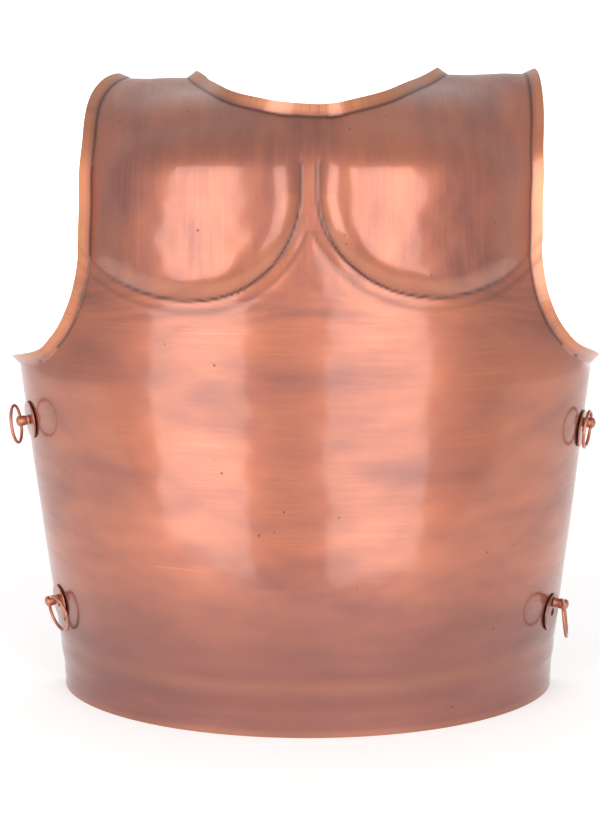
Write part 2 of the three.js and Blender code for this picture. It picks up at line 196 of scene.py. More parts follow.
class CuirassFittingSettings(bpy.types.PropertyGroup):
    washer_radius: length("Washer radius", "Radius of a washer under a side stud", 14.25)
    post_radius: length("Post radius", "Radius of a side stud's post", 4)
    ring_radius: length("Ring radius", "Radius of a strap ring to the middle of its wire", 13.75)
    ring_wire: length("Ring wire", "Radius of the wire of a strap ring", 1.2)
    stud_radius: length("Shoulder stud radius", "Radius of a stud on a shoulder tab", 4.5)


class CuirassFinishSettings(bpy.types.PropertyGroup):
    patina: colour("Patina", "Purple-brown of the aged surface", (0.22, 0.080, 0.072))
    copper: colour("Copper", "Plain copper between the patina", (0.58, 0.190, 0.105))
    # Bright orange of rubbed edges and scratches, and also the painted reflection on the pecs' undersides and
    # the painted highlight on the lips' rims
    rubbed_and_sheen: colour("Rubbed copper", "Bright orange of rubbed edges", (0.78, 0.33, 0.13))
    # Dark of the pits and of the plate's inside, and also the painted shade in the creases, grooves and lips'
    # folds
    soot_and_shade: colour("Soot", "Dark deposit in creases and pits", (0.06, 0.025, 0.018))


# ---- Plate surface, on arrays of turns and runs ----
def lerp(a, b, share):
    return a + (b - a) * share


def fade(value, limits):
    share = np.clip((value - limits[0]) / (limits[1] - limits[0]), 0, 1)
    return share * share * (3 - 2 * share)


def bell(distance, width):
    return np.exp(-(distance / width) ** 2)


def unit(vectors):
    return vectors / np.linalg.norm(vectors, axis=-1, keepdims=True)


def hem_flare(height):
    return HEM_FLARE * np.maximum(0, 1 - height / HEM_FLARE_HEIGHT) ** 2


def half_width(height):
    side = HEM_HALF_WIDTH + SIDE_TAPER * np.minimum(height, ARMPIT_HEIGHT)
    return lerp(side, CHEST_HALF_WIDTH, fade(height, (ARMPIT_HEIGHT, CHEST_HEIGHT))) + hem_flare(height)


def depth(height):
    belly = BELLY_BULGE * np.sin(pi * np.clip(height / BELLY_TOP, 0, 1)) ** 2
    return lerp(HEM_DEPTH, CHEST_DEPTH, fade(height, (0, CHEST_HEIGHT))) + belly + hem_flare(height)


def lean(height):
    return SIDE_LEAN * np.minimum(height, ARMPIT_HEIGHT)


def torso_point(turn, run):
    height = np.minimum(run, CHEST_HEIGHT)
    across = half_width(height) * np.sin(turn) + lean(height)
    forward = depth(height) * np.sign(np.cos(turn)) * np.abs(np.cos(turn)) ** SIDE_PINCH
    roll = (run - height) / SHOULDER_RADIUS
    top = SHOULDER_RADIUS + SHOULDER_TILT * across
    reach = lerp(forward, top, 1 - np.maximum(np.cos(roll), 0) ** 4)
    return np.stack([across, -reach * np.cos(roll), height + reach * np.sin(roll)], axis=-1)


def torso_normal(turn, run):
    along = torso_point(turn + 0.002, run) - torso_point(turn - 0.002, run)
    up = torso_point(turn, run + 0.2) - torso_point(turn, run - 0.2)
    return unit(np.cross(along, up))


def turn_at(across, run):
    height = np.minimum(run, CHEST_HEIGHT)
    return np.arcsin(np.clip((across - lean(height)) / half_width(height), -1, 1))


def pec_fields(across, run):
    """Relief of the pectorals, how far inside their outline a place is, and how strong they are there."""
    relief, inside, strength = (np.zeros_like(across) for _ in range(3))
    for side, pec in PECS.items():
        here = (across < 1) == (side == "left")
        sideways = across - pec["middle"]
        inward = sideways * np.sign(pec["middle"]) < 0
        below = np.minimum(0, run - CHEST_HEIGHT)
        share = np.hypot(sideways / np.where(inward, pec["inner"], pec["outer"]), below / pec["drop"])
        from_middle = np.hypot(sideways, below)
        within = np.where(from_middle > 1, from_middle / np.maximum(share, 0.005) - from_middle, pec["drop"])
        clipped = np.maximum(within, 0)
        step = 1 - (1 - np.minimum(clipped / PEC_SLOPE, 1)) ** PEC_ROUNDING
        dome = 1 - np.exp(-clipped / PEC_DOME_REACH)
        neck = lerp(1, pec["at_neck"], fade(run, PEC_FADES["neck"]))
        arm = lerp(1, pec["at_arm"], fade(np.abs(across), PEC_FADES["arm"]))
        weight = neck * (1 - fade(run, PEC_FADES["over"])) * arm
        relief = np.where(here, (PEC_STEP * step + PEC_DOME * dome) * weight, relief)
        inside = np.where(here, within, inside)
        strength = np.where(here, weight, strength)
    return relief, inside, strength


def plate_point(turn, run):
    bare = torso_point(turn, run)
    relief = pec_fields(bare[..., 0], run)[0]
    return bare + torso_normal(turn, run) * relief[..., None]


def hammering(across, run, inside):
    """Small rises and dips that the plain model leaves out, and none at the hem itself."""
    low = sum(h * np.sin(2 * pi * across / a + p) * np.sin(2 * pi * run / r + 2 * p)
              for h, a, r, p in RIPPLES)
    low = low * (1 + CHEST_RIPPLES["gain"] * fade(run, CHEST_RIPPLES["run"]))
    hem = HEM_ROLL
    rising = fade(run, (hem["bottom"], hem["bottom"] + hem["rise"]))
    window = rising * (1 - fade(run, (hem["top"] - hem["fall"], hem["top"])))
    roll = hem["height"] * np.cos(2 * pi * (run - hem["bottom"]) / hem["wavelength"]) * window
    groove = UNDER_PEC_GROOVE
    line = bell(-inside - groove["below"], groove["width"])
    under = 1 - fade(run, groove["ends"])
    return (low + roll) * fade(run, RIPPLES_START) - groove["depth"] * line * under


def surface_marks(skin, inside, strength, foot):
    """For each vertex of the skin, where the plate's colour changes, each from 0 to 1, painted shade and a
    painted reflection among them.
    """
    run, lip = skin["place"][:, 1], skin["lip"]
    # Painted shade along the foot of the pecs and in the groove under them
    edge = bell(np.minimum(inside, 0), PEC_CREASE["outside"])
    edge = edge * bell(np.maximum(inside, 0), PEC_CREASE["inside"])
    painted_crease_shade = edge * strength * (run < CHEST_HEIGHT + PEC_CREASE["over_middle"])
    groove = GROOVE_SHADE["strength"] * bell(inside + UNDER_PEC_GROOVE["below"], GROOVE_SHADE["width"])
    painted_crease_shade = np.maximum(painted_crease_shade, groove * (run < CHEST_HEIGHT - GROOVE_SHADE["under_middle"]))
    # Painted shade in the fold at each lip's foot
    at_foot = LIP_FOOT_SHADE["strength"] * bell(foot, LIP_FOOT_SHADE["width"]) * (lip < LIP_FOOT_SHADE["lip_share"])
    # Painted reflection of the floor on the pecs' undersides
    pec_reflection_and_hem_band = fade(inside, PEC_BAND["start"]) * (1 - fade(inside, PEC_BAND["end"]))
    pec_reflection_and_hem_band = pec_reflection_and_hem_band * strength * (run < CHEST_HEIGHT)
    hem_line = HEM_LINE["strength"] * bell(run - HEM_LINE["run"], HEM_LINE["width"])
    hem = np.maximum(1 - fade(run, HEM_EDGE), hem_line)
    return {
        "lip": lip,
        "painted_crease_shade": np.maximum(painted_crease_shade, at_foot),
        "pec_reflection_and_hem_band": np.maximum(pec_reflection_and_hem_band, hem),
        "upright_brush": fade(run, UPRIGHT_BRUSH_RUN),
        "low": 1 - fade(run, LOW_DARKENING_RUN),
        "lining": np.zeros_like(lip),
    }


# ---- Edges and patches ----
class EdgeCurve:
    """A smooth curve through places (across, run), read by its share of length as (turn, run)."""

    def __init__(self, table, spans=4000):
        knots = np.array([(turn_at(a, r) * MEAN_RADIUS, r) for a, r in table], float)
        last = len(knots) - 1
        place = np.linspace(0, last, spans + 1)
        k = np.minimum(place.astype(int), last - 1)
        t = (place - k)[:, None]
        p0, p1, p2, p3 = (knots[np.clip(k + shift, 0, last)] for shift in (-1, 0, 1, 2))
        v0, v1 = (p2 - p0) / 2, (p3 - p1) / 2
        self.path = (2 * p1 - 2 * p2 + v0 + v1) * t**3 + (3 * p2 - 3 * p1 - 2 * v0 - v1) * t**2 + v0 * t + p1
        steps = np.linalg.norm(np.diff(self.path, axis=0), axis=1)
        self.share = np.concatenate([[0], np.cumsum(steps)]) / steps.sum()

    def stretch(self, start, end, spans):
        shares = np.linspace(start, end, spans + 1)
        return np.stack([np.interp(shares, self.share, self.path[:, 0]) / MEAN_RADIUS,
                         np.interp(shares, self.share, self.path[:, 1])], axis=-1)

    def share_at_run(self, run, low, high):
        within = (self.share >= low) & (self.share <= high)
        shares, runs = self.share[within], self.path[within, 1]
        order = np.argsort(runs)
        return float(np.interp(run, runs[order], shares[order]))


def straight(a, b, spans):
    return lerp(np.asarray(a, float), np.asarray(b, float), np.linspace(0, 1, spans + 1)[:, None])


def chain(first, *rest):
    return np.concatenate([first, *(path[1:] for path in rest)])


def arm_edge(side, table, fineness):
    armpit = (side * half_width(ARMPIT_HEIGHT) + lean(ARMPIT_HEIGHT), ARMPIT_HEIGHT)
    curve = EdgeCurve([armpit, *table])
    low, high = (curve.share_at_run(run, 0, 1) for run in (UNDERARM_RUN, TAB_RUN))
    return {
        "under": curve.stretch(0, low, SPANS["underarm"] * fineness),
        "front": curve.stretch(low, high, ROWS["chest"] * fineness),
        "over": curve.stretch(high, 1, ROWS["tab"] * fineness),
    }


def neck_edge(fineness):
    curve = EdgeCurve(NECK_EDGE)
    low, high = curve.share_at_run(TAB_RUN, 0, 0.5), curve.share_at_run(TAB_RUN, 0.5, 1)
    return {
        "left": curve.stretch(0, low, ROWS["tab"] * fineness),
        "front": curve.stretch(low, high, SPANS["neck"] * fineness),
        "right": curve.stretch(high, 1, ROWS["tab"] * fineness),
    }


def blended_patch(bottom, top, left, right):
    u = np.linspace(0, 1, len(bottom))[None, :, None]
    v = np.linspace(0, 1, len(left))[:, None, None]
    corners = lerp(lerp(left[0], right[0], u), lerp(left[-1], right[-1], u), v)
    places = lerp(bottom[None], top[None], v) + lerp(left[:, None], right[:, None], u) - corners
    turn, run = places[..., 0], places[..., 1]
    normal = torso_normal(turn, run)
    level = np.abs(run) < 1e-9
    normal[..., 2] = np.where(level, 0, normal[..., 2])
    return {"point": plate_point(turn, run), "normal": unit(normal), "place": places,
            "lip": np.zeros_like(turn)}


def lip_patch(path, lip, plate_on_right, round_end, fineness):
    turn, run = path[:, 0], path[:, 1]
    feet = plate_point(turn, run)
    steps = np.linalg.norm(np.diff(feet, axis=0), axis=1)
    along = np.concatenate([[0], np.cumsum(steps)])
    normal = torso_normal(turn, run)
    ahead = np.concatenate([feet[1:], feet[-1:]])
    behind = np.concatenate([feet[:1], feet[:-1]])
    out = unit(np.cross(ahead - behind, normal)) * (-1 if plate_on_right else 1)
    slope = np.radians(lerp(lip["angle"], lip["top_angle"], fade(run, LIP_TURNS_TOP)))[:, None]
    from_end = np.minimum(along, along[-1] - along) if round_end else along
    share = np.sqrt(1 - (1 - np.minimum(from_end / lip["corner"], 1)) ** 2)[:, None]
    way = out * np.cos(slope) + normal * np.sin(slope)
    wall = normal * np.cos(slope) - out * np.sin(slope)
    across_lip = np.linspace(0, 1, SPANS["lip"] * fineness + 1)
    point = feet[:, None] + (way * share)[:, None] * (lip["width"] * across_lip)[None, :, None]
    normals = np.broadcast_to(unit(lerp(normal, wall, share))[:, None], point.shape)
    places = np.broadcast_to(path[:, None], (*point.shape[:2], 2))
    cells = {"point": point, "normal": normals, "place": places,
             "lip": np.broadcast_to(across_lip[None], point.shape[:2])}
    return {key: value[:, ::-1] for key, value in cells.items()} if plate_on_right else cells


def plate_patches(n):
    left, right = arm_edge(-1, ARM_EDGES["left"], n), arm_edge(1, ARM_EDGES["right"], n)
    neck = neck_edge(n)
    tab = SPANS["tab"] * n
    across = 2 * tab + SPANS["neck"] * n
    hem = straight((-pi / 2, 0), (pi / 2, 0), across + 2 * SPANS["underarm"] * n)
    sides = [straight((turn, 0), (turn, ARMPIT_HEIGHT), ROWS["torso"] * n) for turn in (-pi / 2, pi / 2)]
    chest_foot = straight(left["front"][0], right["front"][0], across)
    left_foot = straight(left["over"][0], neck["front"][0], tab)
    right_foot = straight(neck["front"][-1], right["over"][0], tab)
    left_end = straight(left["over"][-1], neck["left"][0], tab)
    right_end = straight(neck["right"][-1], right["over"][-1], tab)
    top = chain(left_foot, neck["front"], right_foot)
    return [
        blended_patch(hem, chain(left["under"], chest_foot, right["under"][::-1]), *sides),
        blended_patch(chest_foot, top, left["front"], right["front"]),
        blended_patch(left_foot, left_end, left["over"], neck["left"][::-1]),
        blended_patch(right_foot, right_end, neck["right"], right["over"]),
        lip_patch(chain(left["under"], left["front"], left["over"]), LIPS["arm"], True, False, n),
        lip_patch(chain(right["under"], right["front"], right["over"]), LIPS["arm"], False, False, n),
        lip_patch(chain(neck["left"], neck["front"], neck["right"]), LIPS["neck"], True, True, n),
    ]


def joined_skin(patches):
    """The patches as one skin: merged vertices with their fields, and triangles."""
    fields = {key: np.concatenate([p[key].reshape(-1, *p[key].shape[2:]) for p in patches])
              for key in ("point", "normal", "place", "lip")}
    corners, start = [], 0
    for patch in patches:
        rows, columns = patch["lip"].shape
        k = np.arange(rows * columns).reshape(rows, columns) + start
        corners.append(np.stack([k[:-1, :-1], k[:-1, 1:], k[1:, 1:], k[1:, :-1]], -1).reshape(-1, 4))
        start += rows * columns
    keys = np.round(fields["point"] * 1000).astype(np.int64)
    _, first, merged = np.unique(keys, axis=0, return_index=True, return_inverse=True)
    merged = merged.reshape(-1)
    quads = merged[np.concatenate(corners)]
    normal = np.zeros((len(first), 3))
    np.add.at(normal, merged, fields["normal"])
    skin = {key: value[first] for key, value in fields.items()}
    skin["normal"] = unit(normal)
    a, b, c, d = quads.T
    point = skin["point"]
    short = np.linalg.norm(point[a] - point[c], axis=1) < np.linalg.norm(point[b] - point[d], axis=1)
    triangles = np.concatenate([
        np.where(short[:, None], np.stack([a, b, c], -1), np.stack([a, b, d], -1)),
        np.where(short[:, None], np.stack([a, c, d], -1), np.stack([b, c, d], -1)),
    ])
    a, b, c = triangles.T
    return skin, triangles[(a != b) & (b != c) & (c != a)]


def open_edges(triangles, count):
    edges = np.concatenate([triangles[:, [0, 1]], triangles[:, [1, 2]], triangles[:, [2, 0]]])
    forward, backward = edges[:, 0] * count + edges[:, 1], edges[:, 1] * count + edges[:, 0]
    return edges[~np.isin(forward, backward)]


def distance_to(points, targets):
    tree = KDTree(len(targets))
    for k, target in enumerate(targets):
        tree.insert(target, k)
    tree.balance()
    return np.array([tree.find(point)[2] for point in points])


# ---- Meshes and nodes ----
def to_frame(points):
    return (points - FRAME_ORIGIN) * MM


def new_piece(name, mesh, body, nodes):
    piece = bpy.data.objects.new(name, mesh)
    bpy.context.scene.collection.objects.link(piece)
    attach(piece, body)
    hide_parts(*nodes)
    return piece


def add_node(tree, kind, inputs=None, **settings):
    node = tree.nodes.new(kind)
    for key, value in settings.items():
        setattr(node, key, value)
    for key, value in (inputs or {}).items():
        if isinstance(value, bpy.types.NodeSocket):
            tree.links.new(value, node.inputs[key])
        else:
            node.inputs[key].default_value = value
    return node


def arithmetic(tree, operation, a, b, clamp=False):
    return add_node(tree, "ShaderNodeMath", {0: a, 1: b}, operation=operation, use_clamp=clamp).outputs[0]


def times(tree, a, b, clamp=False):
    return arithmetic(tree, "MULTIPLY", a, b, clamp)


def plus(tree, a, b):
    return arithmetic(tree, "ADD", a, b)


def minus(tree, a, b):
    return arithmetic(tree, "SUBTRACT", a, b)


def remap(tree, value, low, high, to_low=0.0, to_high=1.0):
    return add_node(tree, "ShaderNodeMapRange", {"Value": value, "From Min": low, "From Max": high,
                    "To Min": to_low, "To Max": to_high}, interpolation_type="SMOOTHSTEP").outputs["Result"]


def blend(tree, share, a, b):
    return add_node(tree, "ShaderNodeMix", {0: share, 6: a, 7: b}, data_type="RGBA").outputs[2]


def noise(tree, vector, scale, detail=3.0, roughness=0.5):
    return add_node(tree, "ShaderNodeTexNoise", {"Vector": vector, "Scale": scale, "Detail": detail,
                    "Roughness": roughness}).outputs["Fac"]


def stretched(tree, vector, scale):
    return add_node(tree, "ShaderNodeMapping", {"Vector": vector, "Scale": scale}).outputs["Vector"]


def attribute(tree, name):
    return add_node(tree, "ShaderNodeAttribute", attribute_name=name).outputs["Fac"]


def aged_copper_group():
    """Clouds of patina over copper, with dark pits. Shared by every finish."""
    name = "Aged copper"
    if name in bpy.data.node_groups:
        return bpy.data.node_groups[name]
    tree = bpy.data.node_groups.new(name, "ShaderNodeTree")
    sockets = (("Vector", "INPUT", "NodeSocketVector"), ("Spots", "INPUT", "NodeSocketVector"),
               ("Patina", "INPUT", "NodeSocketColor"), ("Copper", "INPUT", "NodeSocketColor"),
               ("Soot", "INPUT", "NodeSocketColor"), ("Age", "INPUT", "NodeSocketFloat"),
               ("Colour", "OUTPUT", "NodeSocketColor"), ("Roughness", "OUTPUT", "NodeSocketFloat"),
               ("Height", "OUTPUT", "NodeSocketFloat"))
    for label, way, kind in sockets:
        tree.interface.new_socket(label, in_out=way, socket_type=kind)
    given = tree.nodes.new("NodeGroupInput").outputs
    clouds = noise(tree, given["Vector"], *CLOUDS)
    mottle = noise(tree, given["Vector"], *MOTTLE)
    grain = noise(tree, given["Vector"], *FINE_GRAIN)
    mixed = plus(tree, times(tree, clouds, 0.8), times(tree, mottle, 0.2))
    aged = remap(tree, plus(tree, mixed, given["Age"]), 0.30, 0.80)
    cells = add_node(tree, "ShaderNodeTexVoronoi", {"Vector": given["Spots"], "Scale": PIT_SCALE,
                     "Randomness": 1.0})
    chosen = remap(tree, noise(tree, given["Spots"], PIT_AREA_SCALE, 1), 0.56, 0.62)
    pit = times(tree, remap(tree, cells.outputs["Distance"], 0.04, 0.10, 1.0, 0.0), chosen)
    base = blend(tree, aged, given["Copper"], given["Patina"])
    base = blend(tree, times(tree, pit, 0.7), base, given["Soot"])
    rough = remap(tree, mixed, 0.3, 0.7, 0.34, 0.48)
    height = minus(tree, plus(tree, times(tree, mottle, 0.5),
                  times(tree, grain, 0.12)), times(tree, pit, 0.8))
    add_node(tree, "NodeGroupOutput", {"Colour": base, "Height": height,
             "Roughness": plus(tree, rough, times(tree, pit, 0.25))})
    return tree


def opaque(values):
    return (*values, 1.0)


def copper_material(name, finish, age, dress, grain=None):
    """A copper finish. 'dress' takes the tree, colour, roughness and height, and gives them back changed;
    'grain' takes the tree and gives the coordinates of the patina, which are otherwise the object's."""
    material = bpy.data.materials.new(name)
    material.use_nodes = True
    tree = material.node_tree
    shader = tree.nodes["Principled BSDF"]
    for label, value in LACQUER.items():
        shader.inputs[label].default_value = value
    place = add_node(tree, "ShaderNodeTexCoord").outputs["Object"]
    group = add_node(tree, "ShaderNodeGroup", node_tree=aged_copper_group())
    tree.links.new(place, group.inputs["Spots"])
    tree.links.new(grain(tree) if grain else place, group.inputs["Vector"])
    for label, value in (("Patina", finish.patina), ("Copper", finish.copper), ("Soot", finish.soot_and_shade)):
        group.inputs[label].default_value = opaque(value)
    group.inputs["Age"].default_value = age
    base, rough, height = dress(tree, *(group.outputs[k] for k in ("Colour", "Roughness", "Height")))
    bump = add_node(tree, "ShaderNodeBump", {"Height": height, **BUMP})
    tree.links.new(base, shader.inputs["Base Color"])
    tree.links.new(rough, shader.inputs["Roughness"])
    tree.links.new(bump.outputs["Normal"], shader.inputs["Normal"])
    return material


def plate_material(finish):
    rubbed_and_sheen, soot_and_shade = opaque(finish.rubbed_and_sheen), opaque(finish.soot_and_shade)

    def dress(tree, base, rough, height):
        flat = add_node(tree, "ShaderNodeUVMap", uv_map="sheet").outputs["UV"]
        level = noise(tree, stretched(tree, flat, STROKES["level"]), *BRUSH_NOISE)
        upright = noise(tree, stretched(tree, flat, STROKES["upright"]), *BRUSH_NOISE)
        brush = add_node(tree, "ShaderNodeMix", {0: attribute(tree, "upright_brush"), 2: level, 3: upright})
        brush = brush.outputs[0]
        scratch = noise(tree, stretched(tree, flat, STROKES["scratch"]), *SCRATCH_NOISE)
        on_chest = times(tree, attribute(tree, "upright_brush"), RUBBED_AND_SHEEN["scratch"])
        on_belly = minus(tree, RUBBED_AND_SHEEN["scratch"], on_chest)
        scratch = times(tree, remap(tree, scratch, 0.77, 0.83), on_belly)
        base = blend(tree, remap(tree, brush, 0.45, 0.75, 0.0, RUBBED_AND_SHEEN["brush"]), base, opaque(finish.copper))
        # Darker towards the bottom
        base = blend(tree, times(tree, attribute(tree, "low"), DARKENED["low"]), base, opaque(finish.patina))
        base = blend(tree, scratch, base, rubbed_and_sheen)
        # Painted reflection under the pecs, and orange along the hem
        base = blend(tree, times(tree, attribute(tree, "pec_reflection_and_hem_band"), RUBBED_AND_SHEEN["pec_reflection_and_hem_band"]), base, rubbed_and_sheen)
        # Brighter towards the lips' rims: partly rubbed wear, partly a painted highlight where a rounded rim
        # would catch the light
        lip_wear_and_highlight = remap(tree, brush, 0.3, 0.5, RUBBED_AND_SHEEN["lip_low"], RUBBED_AND_SHEEN["lip_high"])
        base = blend(tree, times(tree, remap(tree, attribute(tree, "lip"), 0.12, 0.6), lip_wear_and_highlight), base, rubbed_and_sheen)
        painted_crease_shade, lining = attribute(tree, "painted_crease_shade"), attribute(tree, "lining")
        # Painted shade in the creases, grooves and lips' folds
        base = blend(tree, times(tree, painted_crease_shade, DARKENED["painted_crease_shade"], clamp=True), base, soot_and_shade)
        base = blend(tree, times(tree, lining, DARKENED["lining"]), base, soot_and_shade)
        rough = plus(tree, rough, remap(tree, brush, 0.3, 0.7, -0.04, 0.05))
        rough = plus(tree, rough, times(tree, painted_crease_shade, ROUGHENED["painted_crease_shade"]))
        rough = plus(tree, rough, times(tree, lining, ROUGHENED["lining"]))
        height = plus(tree, height, times(tree, brush, 0.2))
        return base, rough, minus(tree, height, scratch)

    def grain(tree):
        """Patina drawn out sideways on the belly and upwards on the chest."""
        flat = add_node(tree, "ShaderNodeUVMap", uv_map="sheet").outputs["UV"]
        level = stretched(tree, flat, PATINA_STRETCH["level"])
        upright = stretched(tree, flat, PATINA_STRETCH["upright"])
        return add_node(tree, "ShaderNodeMix", {0: attribute(tree, "upright_brush"), 4: level, 5: upright},
                        data_type="VECTOR").outputs[1]

    return copper_material("Plate copper", finish, 0.0, dress, grain)


def fitting_material(name, finish, age, shine):
    def dress(tree, base, rough, height):
        turn = noise(tree, add_node(tree, "ShaderNodeTexCoord").outputs["Object"], 240, 4)
        base = blend(tree, remap(tree, turn, 0.5, 0.7, 0.0, shine), base, opaque(finish.rubbed_and_sheen))
        return base, rough, height

    return copper_material(name, finish, age, dress)


def copper(name):
    """The finish of that name, made when it is first asked for."""
    finish = bpy.context.scene.cuirass_finish
    if name in bpy.data.materials:
        return bpy.data.materials[name]
    if name == "Plate copper":
        return plate_material(finish)
    return fitting_material(name, finish, **FITTING_FINISHES[name])


# ---- Studs ----
def plate_mount(turn, run):
    """+Z along the plate's normal and +Y as near up as that allows, in the plate's millimetres."""
    normal = Vector(torso_normal(turn, run))
    sideways = Vector((0, 0, 1)).cross(normal).normalized()
    axes = Matrix((sideways, normal.cross(sideways), normal)).transposed().to_4x4()
    return Matrix.Translation(Vector(plate_point(turn, run))) @ axes


def stud_mount(stud):
    return plate_mount(np.float64(radians(stud["turn"])), np.float64(stud["run"]))


def cross_hole(stud, height):
    """On the stud's mount: +X towards the ring's middle and +Y along the hole."""
    droop = radians(stud["droop"])
    spin = -droop if stud["side"] < 0 else pi + droop
    return Matrix.Translation((0, 0, height)) @ Matrix.Rotation(spin, 4, "Z")


def stud_hinge(stud):
    height = WASHER_TOP + GAP + stud["reach"] - CROSS_HOLE["from_tip"]
    return stud_mount(stud) @ cross_hole(stud, height)


def frame_matrix(matrix):
    return Matrix.Scale(MM, 4) @ Matrix.Translation(-Vector(FRAME_ORIGIN)) @ matrix


def lathe(profile, sides):
    """A closed body turned about Z from (radius, z) points that start and end on the axis."""
    shape = bmesh.new()
    rings = []
    for radius, z in profile:
        if radius < 1e-6:
            rings.append([shape.verts.new((0, 0, z))])
            continue
        turns = (2 * pi * k / sides for k in range(sides))
        rings.append([shape.verts.new((radius * cos(t), radius * sin(t), z)) for t in turns])
    for low, high in zip(rings, rings[1:]):
        for k in range(sides):
            n = (k + 1) % sides
            corners = [low[k % len(low)], low[n % len(low)], high[n % len(high)], high[k % len(high)]]
            shape.faces.new(list(dict.fromkeys(corners)))
    bmesh.ops.recalc_face_normals(shape, faces=shape.faces)
    mesh = bpy.data.meshes.new("turned")
    shape.to_mesh(mesh)
    shape.free()
    return mesh


def rounded(radius_low, z_low, radius_high, z_high, steps=6):
    """A quarter-round from a wall at radius_low up and in to radius_high."""
    angles = [pi / 2 * k / steps for k in range(steps + 1)]
    return [(lerp(radius_high, radius_low, cos(a)), lerp(z_low, z_high, sin(a))) for a in angles]


def temporary(name, mesh):
    made = bpy.data.objects.new(name, mesh)
    bpy.context.scene.collection.objects.link(made)
    return made


def evaluated_mesh(source, name):
    graph = bpy.context.evaluated_depsgraph_get()
    mesh = bpy.data.meshes.new_from_object(source.evaluated_get(graph), depsgraph=graph)
    mesh.name = name
    return mesh


def smooth(mesh, angle=35):
    mesh.shade_smooth()
    mesh.set_sharp_from_angle(angle=radians(angle))
    return mesh


def post_mesh(stud, radius):
    """A waisted post with its peened head inside the plate and the cross hole near its tip."""
    foot = WASHER_TOP + GAP
    tip = foot + stud["reach"]
    crown = radius * 0.6
    head_side = rounded(radius, HEAD_TOP - HEAD_EDGE, crown, HEAD_TOP, 4)
    head_bottom = HEAD_TOP - HEAD_THICKNESS
    profile = [(0, head_bottom),
               *reversed([(r, HEAD_TOP + head_bottom - z) for r, z in head_side]),
               (SHANK_RADIUS, HEAD_TOP), (SHANK_RADIUS, foot),
               (radius - 0.3, foot), (radius, foot + 0.3),
               (radius * 0.83, lerp(foot, tip - 2 * CROSS_HOLE["from_tip"], 0.7)),
               (radius * 0.98, tip - 1.7 * CROSS_HOLE["from_tip"]),
               *rounded(radius, tip - crown, 0, tip, 8)]
    post = temporary("post blank", lathe(profile, SIDES["post"]))
    bore, reach = CROSS_HOLE["radius"], DRILL_REACH
    rod = [(0, -reach), (bore, -reach), (bore, reach), (0, reach)]
    drill = temporary("drill", lathe(rod, SIDES["drill"]))
    drill.data.transform(Matrix.Rotation(pi / 2, 4, "X"))
    drill.data.transform(cross_hole(stud, tip - CROSS_HOLE["from_tip"]))
    cut = post.modifiers.new("Cross hole", "BOOLEAN")
    cut.object = drill
    cut.solver = "EXACT"
    mesh = evaluated_mesh(post, "post")
    for blank in (post, drill):
        bpy.data.objects.remove(blank)
    return mesh


def joined(name, meshes):
    shape = bmesh.new()
    for mesh in meshes:
        shape.from_mesh(mesh)
    whole = bpy.data.meshes.new(name)
    shape.to_mesh(whole)
    shape.free()
    return whole


# ---- Geometry Nodes ----
def geometry_tree(name, inputs):
    tree = bpy.data.node_groups.new(name, "GeometryNodeTree")
    tree.interface.new_socket("Geometry", in_out="INPUT", socket_type="NodeSocketGeometry")
    for label, kind in inputs:
        tree.interface.new_socket(label, in_out="INPUT", socket_type=kind)
    tree.interface.new_socket("Geometry", in_out="OUTPUT", socket_type="NodeSocketGeometry")
    return tree, tree.nodes.new("NodeGroupInput").outputs


def finish_tree(tree, geometry, material):
    realized = add_node(tree, "GeometryNodeRealizeInstances", {"Geometry": geometry})
    coloured = add_node(tree, "GeometryNodeSetMaterial", {"Geometry": realized.outputs[0],
                        "Material": material})
    add_node(tree, "NodeGroupOutput", {"Geometry": coloured.outputs[0]})
    return tree


def ring_tree():
    tree, given = geometry_tree("Strap ring", (("Middle Radius", "NodeSocketFloat"),
                                ("Wire Radius", "NodeSocketFloat"), ("Material", "NodeSocketMaterial")))
    circle = "GeometryNodeCurvePrimitiveCircle"
    path = add_node(tree, circle, {"Resolution": SIDES["ring"], "Radius": given["Middle Radius"]})
    wire = add_node(tree, circle, {"Resolution": SIDES["wire"], "Radius": given["Wire Radius"]})
    swept = add_node(tree, "GeometryNodeCurveToMesh", {"Curve": path.outputs[0],
                     "Profile Curve": wire.outputs[0]})
    return finish_tree(tree, swept.outputs[0], given["Material"])


def copies_tree():
    tree, given = geometry_tree("Copies on mounts", (("Copy", "NodeSocketObject"),
                                ("Material", "NodeSocketMaterial")))
    turn = add_node(tree, "GeometryNodeInputNamedAttribute", {"Name": "turn"}, data_type="FLOAT_VECTOR")
    copy = add_node(tree, "GeometryNodeObjectInfo", {"Object": given["Copy"], "As Instance": True})
    points = add_node(tree, "GeometryNodeInstanceOnPoints", {"Points": given["Geometry"],
                      "Instance": copy.outputs["Geometry"], "Rotation": turn.outputs[0]})
    return finish_tree(tree, points.outputs[0], given["Material"])


def run_tree(name, base, tree, values):
    """The mesh that a Geometry Nodes tree makes from a base mesh, with its inputs given by name."""
    source = temporary(name, base)
    modifier = source.modifiers.new("Nodes", "NODES")
    modifier.node_group = tree
    for item in tree.interface.items_tree:
        if item.item_type == "SOCKET" and item.in_out == "INPUT" and item.name in values:
            modifier[item.identifier] = values[item.name]
    bpy.context.view_layer.update()
    mesh = evaluated_mesh(source, name)
    source.modifiers.clear()
    bpy.data.objects.remove(source)
    return mesh


def copies(name, mesh, mounts, material):
    """Copies of a mesh in metres on mounts given as matrices in metres."""
    base = bpy.data.meshes.new("mounts")
    base.from_pydata([mount.to_translation() for mount in mounts], [], [])
    turns = base.attributes.new("turn", "FLOAT_VECTOR", "POINT")
    for k, mount in enumerate(mounts):
        turns.data[k].vector = mount.to_3x3().normalized().to_euler()
    copy = temporary("copy", mesh)
    made = run_tree(name, base, copies_tree(), {"Copy": copy, "Material": material})
    bpy.data.objects.remove(copy)
    return made


